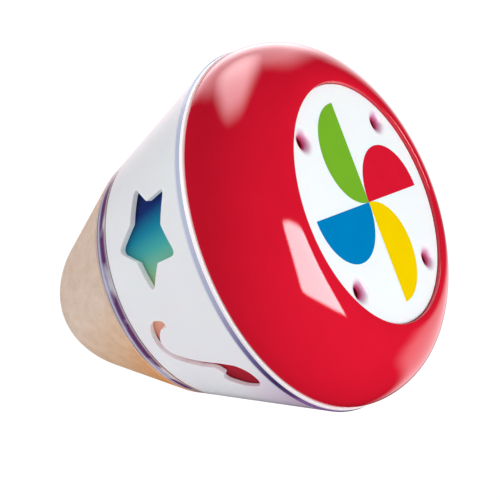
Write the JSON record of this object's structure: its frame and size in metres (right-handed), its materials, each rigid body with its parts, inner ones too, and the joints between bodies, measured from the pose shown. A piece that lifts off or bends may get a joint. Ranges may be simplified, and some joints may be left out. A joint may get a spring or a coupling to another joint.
{
  "type": "spinning top",
  "caption": "Twist-to-play musical spinning top: domed cap with a pinwheel face, windowed cone under a clear cover, wooden foot.",
  "frame": {"origin": "centre of the flat wooden foot that the top stands on", "axes": "+Z along the spin axis, from the foot to the cap's face; seen from above with +X right, the four pinwheel petals' straight edges lie along +X, +Y, -X and -Y"},
  "size_m": [0.106, 0.106, 0.1108],
  "materials": {
    "red_plastic": "glossy moulded plastic",
    "white_plastic": "satin moulded plastic",
    "clear_plastic": "clear moulded plastic",
    "beech": "fine sanded, matt",
    "rainbow_plastic": "printed rainbow gradient",
    "grey_plastic": "moulded, matt",
    "brass": "machined",
    "steel": "machined",
    "nylon": "moulded"
  },
  "bodies": {
    "base": {"barrel_lid": "brass", "base_screw_1": "steel", "base_screw_2": "steel", "base_screw_3": "steel", "clear_cover": "clear_plastic", "comb": "steel", "comb_block": "brass", "comb_screw_1": "steel", "comb_screw_2": "steel", "lower_plate": "brass", "mainspring": "steel", "pedestal": "grey_plastic", "pillar_1": "steel", "pillar_2": "steel", "pillar_3": "steel", "pillar_screw_1": "steel", "pillar_screw_2": "steel", "pillar_screw_3": "steel", "spindle_bushing": "brass", "spring_barrel": "brass", "upper_plate": "brass", "window_shell": "white_plastic", "wooden_base": "beech"},
    "cap": {"cap_deck": "white_plastic", "cap_screw_1": "steel", "cap_screw_2": "steel", "cap_screw_3": "steel", "cap_screw_4": "steel", "cap_shell": "red_plastic", "color_drum": "rainbow_plastic", "drum_screw_1": "steel", "drum_screw_2": "steel", "drum_screw_3": "steel", "face_disc": "white_plastic", "spacer_washer": "nylon", "spindle": "steel", "spindle_nut": "steel", "sun_gear": "brass"},
    "cylinder": {"cylinder_arbor": "steel", "cylinder_pinion": "steel", "cylinder_wheel": "brass", "music_cylinder": "brass"},
    "idler": {"idler_arbor": "steel", "idler_pinion": "steel", "idler_wheel": "brass"},
    "governor": {"governor_arbor": "steel", "governor_fan": "nylon", "governor_pinion": "steel"}
  },
  "joints": [
    {"name": "cap_turn", "type": "hinge", "parent": "base", "child": "cap", "pos_m": [0, 0, 0.09], "axis": [0, 0, 1], "continuous": true},
    {"name": "cylinder_turn", "type": "hinge", "parent": "base", "child": "cylinder", "pos_m": [-0.0225, 0, 0.067], "axis": [0, 0, 1], "continuous": true},
    {"name": "idler_turn", "type": "hinge", "parent": "base", "child": "idler", "pos_m": [-0.0141, -0.01455, 0.067], "axis": [0, 0, 1], "continuous": true},
    {"name": "governor_turn", "type": "hinge", "parent": "base", "child": "governor", "pos_m": [-0.00378, -0.02178, 0.067], "axis": [0, 0, 1], "continuous": true}
  ],
  "couplings": [
    {"joint": "cylinder_turn", "follows": "cap_turn", "ratio": -2},
    {"joint": "idler_turn", "follows": "cap_turn", "ratio": 5},
    {"joint": "governor_turn", "follows": "cap_turn", "ratio": -12.5}
  ]
}
